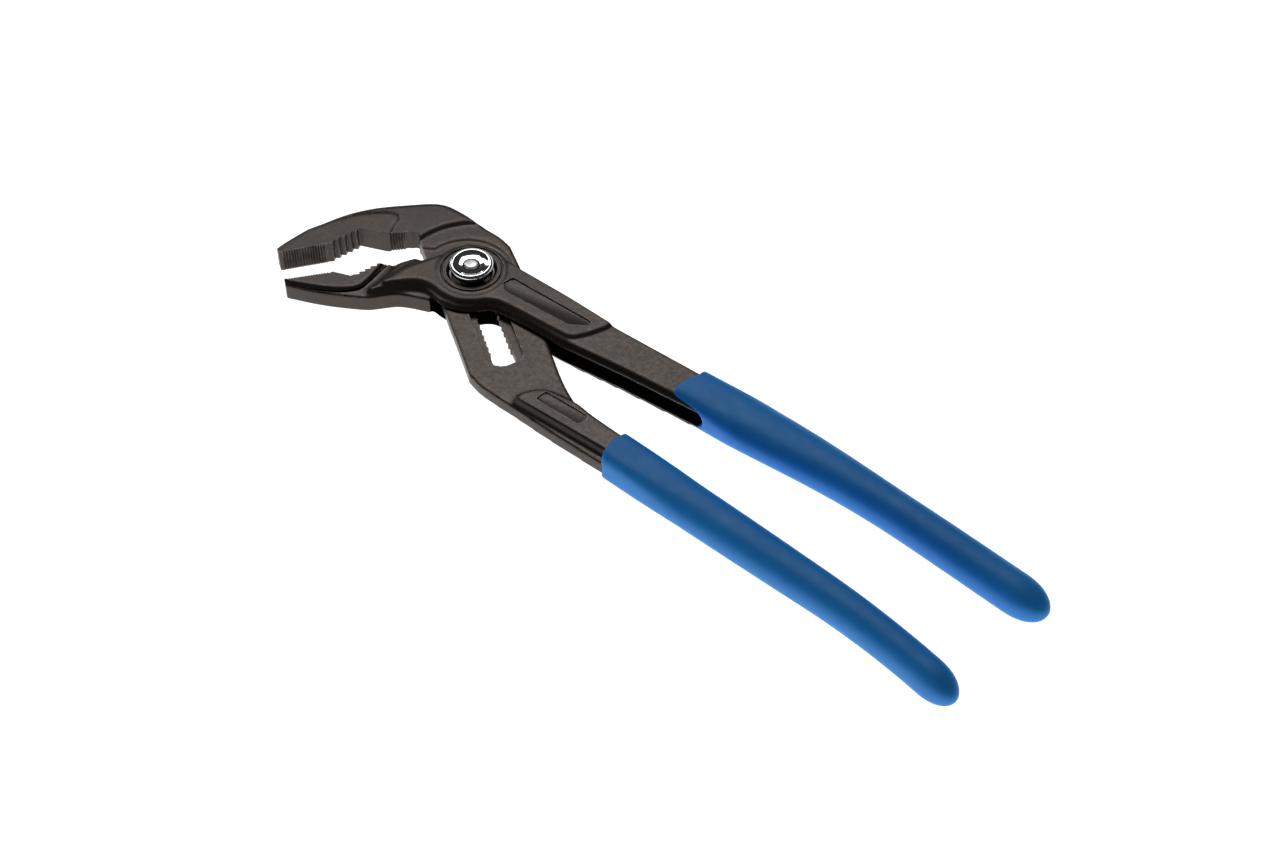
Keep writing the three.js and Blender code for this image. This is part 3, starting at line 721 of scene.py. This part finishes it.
edge_group, gin, gout = new_group("rubbed edges", [("Radius", 0.0004), ("Patchiness", 300.0)],
                                  ["Edge"])
rounded = edge_group.nodes.new("ShaderNodeBevel")
rounded.samples = 6
edge_group.links.new(gin.outputs["Radius"], rounded.inputs["Radius"])
true_normal = edge_group.nodes.new("ShaderNodeNewGeometry")
dot = edge_group.nodes.new("ShaderNodeVectorMath")
dot.operation = "DOT_PRODUCT"
edge_group.links.new(rounded.outputs["Normal"], dot.inputs[0])
edge_group.links.new(true_normal.outputs["Normal"], dot.inputs[1])
bare = ranged(edge_group, dot.outputs["Value"], 0.995, 0.88)
patches = ranged(edge_group, noise(edge_group, gin.outputs["Patchiness"]), 0.42, 0.6)
edge_group.links.new(math_node(edge_group, "MULTIPLY", bare, patches), gout.inputs["Edge"])

# Painted shade: an ambient occlusion mask that darkens the colour where grooves and recesses are in
# shade.
painted_shade_group, gin, gout = new_group("painted crevice shade", [("Reach", 0.003)], ["Hollow"])
shade = painted_shade_group.nodes.new("ShaderNodeAmbientOcclusion")
shade.samples = 8
shade.only_local = True
painted_shade_group.links.new(gin.outputs["Reach"], shade.inputs["Distance"])
dark = ranged(painted_shade_group, shade.outputs["AO"], 0.80, 0.28)
painted_shade_group.links.new(dark, gout.inputs["Hollow"])

grain_group, gin, gout = new_group("grain", [("Coarse", 500.0), ("Fine", 2600.0),
                                             ("Share", 0.5)], ["Height"])
coarse = noise(grain_group, gin.outputs["Coarse"], 3.0)
fine = noise(grain_group, gin.outputs["Fine"], 2.0)
part = math_node(grain_group, "MULTIPLY", fine, gin.outputs["Share"])
grain_group.links.new(math_node(grain_group, "ADD", coarse, part), gout.inputs["Height"])
print("groups:", [g.name for g in bpy.data.node_groups])

# %% [markdown]
# ## Finishes
# A finish starts as a Principled shader with the numbers that are the same all over set on its own
# sockets. Masks then mix colours and roughness. The forged steel is a dark brown-grey phosphate,
# rough and a little uneven, worn paler where it rubs, with painted shade nearly black in its
# crevices.

# %% Helpers for finishes
def place_group(tree, group, **values):
    node = tree.nodes.new("ShaderNodeGroup")
    node.node_tree = group
    for label, value in values.items():
        node.inputs[label].default_value = value
    return node.outputs[0]


def mixed(tree, mask, first, second):
    node = tree.nodes.new("ShaderNodeMix")
    node.data_type = "RGBA"
    tree.links.new(mask, node.inputs[0])
    for socket, value in ((node.inputs[6], first), (node.inputs[7], second)):
        if isinstance(value, tuple):
            socket.default_value = (*value, 1)
        else:
            tree.links.new(value, socket)
    return node.outputs[2]


def bumped(tree, height, strength, distance, normal=None):
    node = tree.nodes.new("ShaderNodeBump")
    node.inputs["Strength"].default_value = strength
    node.inputs["Distance"].default_value = distance
    tree.links.new(height, node.inputs["Height"])
    if normal is not None:
        tree.links.new(normal, node.inputs["Normal"])
    return node.outputs["Normal"]


def soft_edges(tree, radius):
    node = tree.nodes.new("ShaderNodeBevel")
    node.samples = 6
    node.inputs["Radius"].default_value = radius
    return node.outputs["Normal"]


def new_finish(name, **values):
    material = bpy.data.materials.new(name)
    material.use_nodes = True
    shader = material.node_tree.nodes["Principled BSDF"]
    for label, value in values.items():
        shader.inputs[label.replace("_", " ")].default_value = value
    return material, material.node_tree, shader


# %% Forged steel
forged_steel, tree, shader = new_finish("dark phosphate steel", Metallic=0.75)
blotches = ranged(tree, noise(tree, 70.0, 5.0, 0.6), 0.35, 0.7)
mottle = ranged(tree, noise(tree, 900.0, 4.0, 0.65), 0.3, 0.72)
edge = place_group(tree, edge_group, Radius=0.00045, Patchiness=260.0)
crevice_shade = place_group(tree, painted_shade_group, Reach=0.0028)
colour = mixed(tree, blotches, (0.060, 0.050, 0.045), (0.074, 0.059, 0.051))
colour = mixed(tree, math_node(tree, "MULTIPLY", mottle, 0.35), colour, (0.048, 0.042, 0.039))
# Painted shade: the colour falls nearly to black in crevices, where shade falls.
colour = mixed(tree, math_node(tree, "MULTIPLY", crevice_shade, 0.65), colour, (0.024, 0.021, 0.020))
colour = mixed(tree, math_node(tree, "MULTIPLY", edge, 0.6), colour, (0.24, 0.22, 0.20))
tree.links.new(colour, shader.inputs["Base Color"])
rough = math_node(tree, "ADD", math_node(tree, "MULTIPLY", mottle, 0.10), 0.34)
tree.links.new(math_node(tree, "SUBTRACT", rough, math_node(tree, "MULTIPLY", edge, 0.12)),
               shader.inputs["Roughness"])
grain = place_group(tree, grain_group, Coarse=520.0, Fine=2400.0, Share=0.6)
tree.links.new(bumped(tree, grain, 0.35, 0.00012, soft_edges(tree, 0.00010)),
               shader.inputs["Normal"])

# %% [markdown]
# The vinyl is a soft-sheen plastic: blue, slightly uneven in depth, with a fine orange-peel skin
# and only a trace of clear coat, so its highlights are broad and faint.

# %% Dipped vinyl
vinyl, tree, shader = new_finish("blue dipped vinyl", Coat_Weight=0.05, Coat_Roughness=0.35,
                                 Specular_IOR_Level=0.2)
depth = ranged(tree, noise(tree, 45.0, 3.0, 0.5), 0.3, 0.7)
specks = ranged(tree, noise(tree, 1400.0, 2.0, 0.5), 0.66, 0.78)
colour = mixed(tree, depth, (0.016, 0.250, 0.740), (0.021, 0.280, 0.800))
colour = mixed(tree, math_node(tree, "MULTIPLY", specks, 0.3), colour, (0.06, 0.40, 0.90))
tree.links.new(colour, shader.inputs["Base Color"])
skin = ranged(tree, noise(tree, 260.0, 3.0, 0.5), 0.3, 0.7, 0.42, 0.52)
tree.links.new(skin, shader.inputs["Roughness"])
peel = place_group(tree, grain_group, Coarse=900.0, Fine=3200.0, Share=0.35)
dents = bumped(tree, noise(tree, 110.0, 2.0, 0.4), 0.35, 0.0008)
tree.links.new(bumped(tree, peel, 0.30, 0.00010, dents), shader.inputs["Normal"])

# %% [markdown]
# The button is chrome plated and polished, so nearly all its look is reflection, with a little
# painted shade darkening its dish. The pin is brushed and duller. The bolt, key, ring and spring
# are oiled steel in slightly different greys, with painted shade in their grooves.

# %% Bright and oiled steels
chrome, tree, shader = new_finish("polished chrome", Metallic=1.0)
haze = ranged(tree, noise(tree, 600.0, 4.0, 0.6), 0.35, 0.75, 0.05, 0.11)
tree.links.new(haze, shader.inputs["Roughness"])
tint = mixed(tree, ranged(tree, noise(tree, 120.0), 0.4, 0.7), (0.86, 0.87, 0.88),
             (0.80, 0.82, 0.84))
# Painted shade: ambient occlusion darkens the chrome's colour in its dish and round the pin head.
painted_dish_shade = place_group(tree, painted_shade_group, Reach=0.0005)
tree.links.new(mixed(tree, math_node(tree, "MULTIPLY", painted_dish_shade, 0.3), tint, (0.10, 0.10, 0.10)),
               shader.inputs["Base Color"])


def oiled(name, light, dark, rough_low, rough_high):
    material, tree, shader = new_finish(name, Metallic=1.0)
    swirl = ranged(tree, noise(tree, 500.0, 5.0, 0.6, (1.0, 1.0, 3.0)), 0.3, 0.72)
    crevice_shade = place_group(tree, painted_shade_group, Reach=0.002)
    colour = mixed(tree, swirl, light, dark)
    # Painted shade: the oiled steel's colour goes nearly black in its crevices.
    colour = mixed(tree, math_node(tree, "MULTIPLY", crevice_shade, 0.8), colour, (0.02, 0.018, 0.016))
    tree.links.new(colour, shader.inputs["Base Color"])
    tree.links.new(ranged(tree, swirl, 0.0, 1.0, rough_low, rough_high),
                   shader.inputs["Roughness"])
    grain = place_group(tree, grain_group, Coarse=800.0, Fine=3000.0, Share=0.4)
    tree.links.new(bumped(tree, grain, 0.15, 0.00008), shader.inputs["Normal"])
    return material


pin_steel = oiled("brushed pin steel", (0.50, 0.50, 0.49), (0.38, 0.38, 0.37), 0.28, 0.42)
bolt_finish = oiled("oiled bolt steel", (0.20, 0.19, 0.18), (0.13, 0.12, 0.115), 0.30, 0.45)
key_finish = oiled("hardened key steel", (0.15, 0.14, 0.14), (0.10, 0.095, 0.09), 0.3, 0.5)
ring_finish = oiled("blued ring steel", (0.11, 0.11, 0.13), (0.07, 0.07, 0.085), 0.25, 0.4)
spring_wire = oiled("drawn spring wire", (0.42, 0.42, 0.43), (0.30, 0.30, 0.31), 0.2, 0.35)
print("finishes:", len(bpy.data.materials))

# %% [markdown]
# ## Putting the pieces on their bodies
# Every piece rides on the body of the CAD node it stands for, so it moves when the joint moves.

# %% Riding and replacing
for piece, node, body, slot_name, finish in (
        (box_lever, "box_lever", "box_side", "forged_steel", forged_steel),
        (box_grip, "box_lever_grip", "box_side", "grip", vinyl),
        (ring, "retaining_ring", "box_side", "bolt_steel", ring_finish),
        (slotted_lever, "slotted_lever", "slot_side", "forged_steel", forged_steel),
        (slot_grip, "slotted_lever_grip", "slot_side", "grip", vinyl),
        (bolt_foot, "pivot_bolt", "pivot", "bolt_steel", bolt_finish),
        (pin, "centre_pin", "pivot", "pin_steel", pin_steel),
        (spring, "button_spring", "pivot", "spring_steel", spring_wire),
        (button, "push_button", "button", "bright_button", chrome),
        (key, "locking_key", "button", "bolt_steel", key_finish)):
    piece.data.materials.clear()
    piece.data.materials.append(finish)
    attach(piece, body)
    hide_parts(node)
    piece.data.validate()
    print(piece.name, "rides on", body, "with", len(piece.data.polygons), "faces")

# %% [markdown]
# ## Floor, light and camera
# The tool lies on a plain white light table. The table glows, so shadows are only a breath of
# grey and the upright walls of the steel catch light from below, while the air above is dimmer.
# The studio is darkest in front, so slopes that face the viewer stay dark. One large light stands
# above and behind, and a strip on the left gives the chrome something to mirror.

# %% Stage
bm = bmesh.new()
bmesh.ops.create_grid(bm, x_segments=1, y_segments=1, size=3.0)
bmesh.ops.translate(bm, verts=bm.verts, vec=(0, 0, -0.0001))
floor = to_object(bm, "white_table")
paper, tree, shader = new_finish("glowing white table", Roughness=0.9, Specular_IOR_Level=0.1,
                                 Emission_Strength=1.12)
shader.inputs["Emission Color"].default_value = (1, 1, 1, 1)
fibre = ranged(tree, noise(tree, 40.0, 2.0, 0.5), 0.2, 0.8)
tree.links.new(mixed(tree, fibre, (0.60, 0.60, 0.605), (0.615, 0.615, 0.615)),
               shader.inputs["Base Color"])
floor.data.materials.append(paper)

world = bpy.data.worlds.new("studio")
world.use_nodes = True
tree = world.node_tree
parts = tree.nodes.new("ShaderNodeSeparateXYZ")
tree.links.new(tree.nodes.new("ShaderNodeTexCoord").outputs["Generated"], parts.inputs["Vector"])
lean = math_node(tree, "ADD", parts.outputs["Y"], parts.outputs["Z"])
tree.links.new(ranged(tree, lean, 0.1, 1.25, 0.46, 0.69),
               tree.nodes["Background"].inputs["Strength"])
bpy.context.scene.world = world


def soft_light(name, place, target, size, watts):
    lamp = bpy.data.lights.new(name, "AREA")
    lamp.shape = "RECTANGLE"
    lamp.size, lamp.size_y = size
    lamp.energy = watts
    holder = bpy.data.objects.new(name, lamp)
    bpy.context.scene.collection.objects.link(holder)
    holder.location = place
    aim = Vector(target) - Vector(place)
    holder.rotation_euler = aim.to_track_quat("-Z", "Y").to_euler()
    return holder


soft_light("top_light", (-0.40, 0.45, 0.95), (0.06, 0, 0), (0.7, 0.5), 4.0)
soft_light("left_strip", (-0.60, 0.15, 0.40), (0.0, 0, 0), (0.15, 0.5), 0.6)

camera_data = bpy.data.cameras.new("camera")
camera_data.lens = 72.0
camera_data.sensor_width = 36.0
camera = bpy.data.objects.new("camera", camera_data)
bpy.context.scene.collection.objects.link(camera)
camera.location = (0.35931, -0.39487, 0.54321)
LOOKS_DOWN, TURNED = 48.5, 37
camera.rotation_euler = (math.radians(90 - LOOKS_DOWN), 0, math.radians(TURNED))
bpy.context.scene.camera = camera
bpy.context.scene.view_settings.view_transform = "Standard"
print("camera at", tuple(round(v, 3) for v in camera.location))
